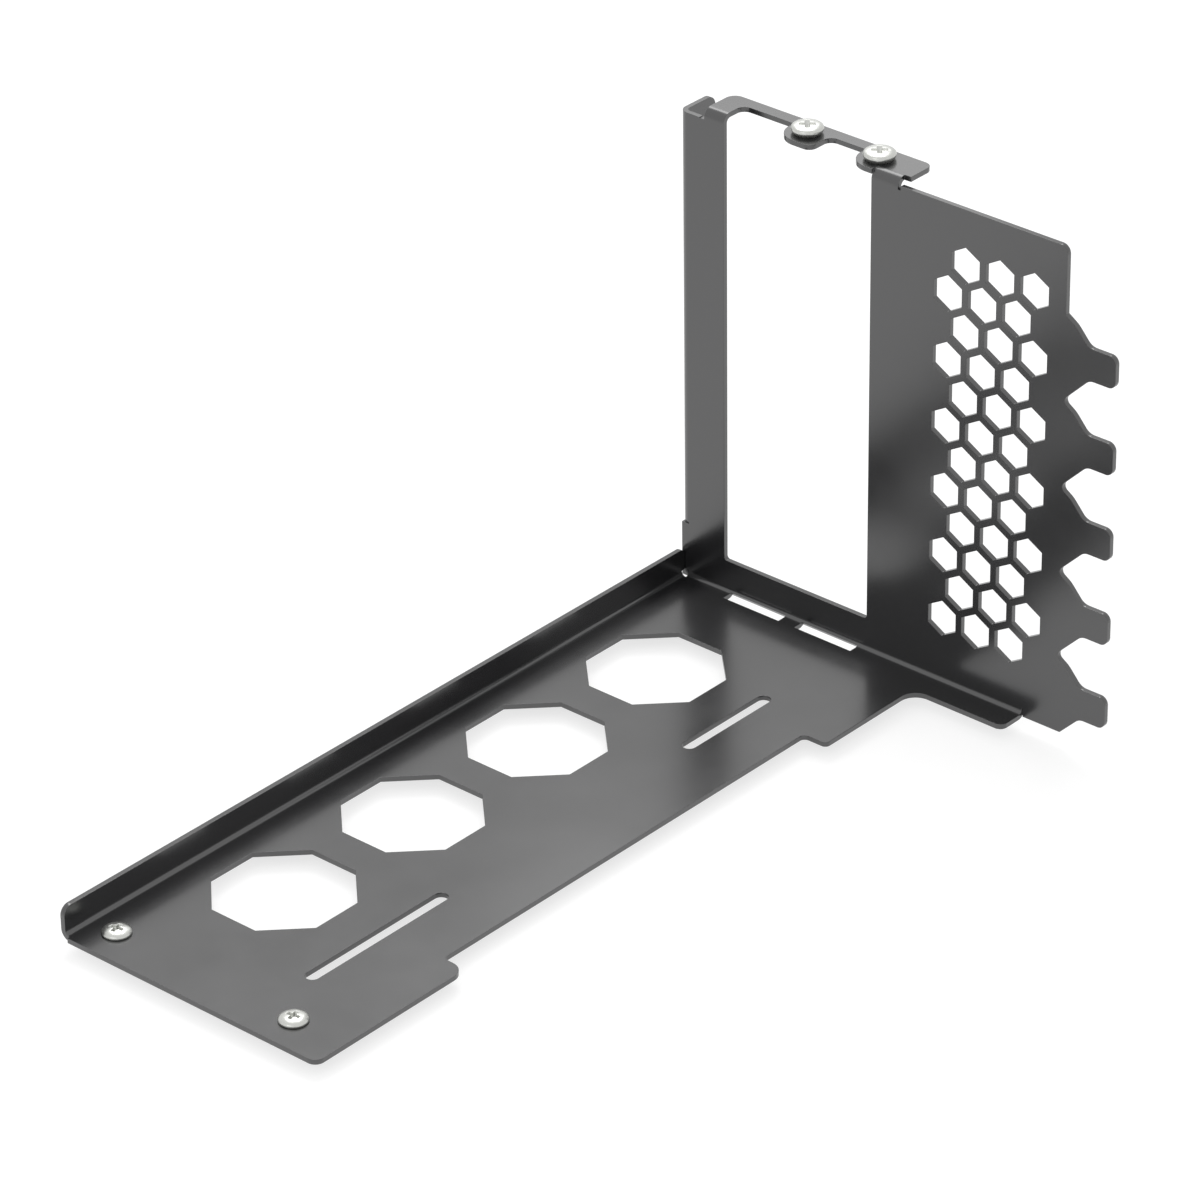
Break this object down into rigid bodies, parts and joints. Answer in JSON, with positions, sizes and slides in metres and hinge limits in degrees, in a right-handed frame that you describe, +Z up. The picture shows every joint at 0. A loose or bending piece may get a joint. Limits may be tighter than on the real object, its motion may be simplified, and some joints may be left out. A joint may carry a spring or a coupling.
{
  "type": "vertical graphics card mount",
  "caption": "Folded steel bracket that stands a graphics card upright in a computer case, with a window, a honeycomb vent, slot tongues and a long slotted base.",
  "frame": {"origin": "middle of the outline's footprint, on the lowest point", "axes": "+Y out through the rear of the case, +X towards the tongues, +Z up along the rear plate"},
  "size_m": [0.1178, 0.2048, 0.1221],
  "materials": {
    "black_powder_coat": "satin",
    "zinc_plated_steel": "bright"
  },
  "bodies": {
    "root": {"bracket": "black_powder_coat", "card_screw_left": "zinc_plated_steel", "card_screw_right": "zinc_plated_steel", "riser_screw_left": "zinc_plated_steel", "riser_screw_right": "zinc_plated_steel"}
  },
  "joints": []
}
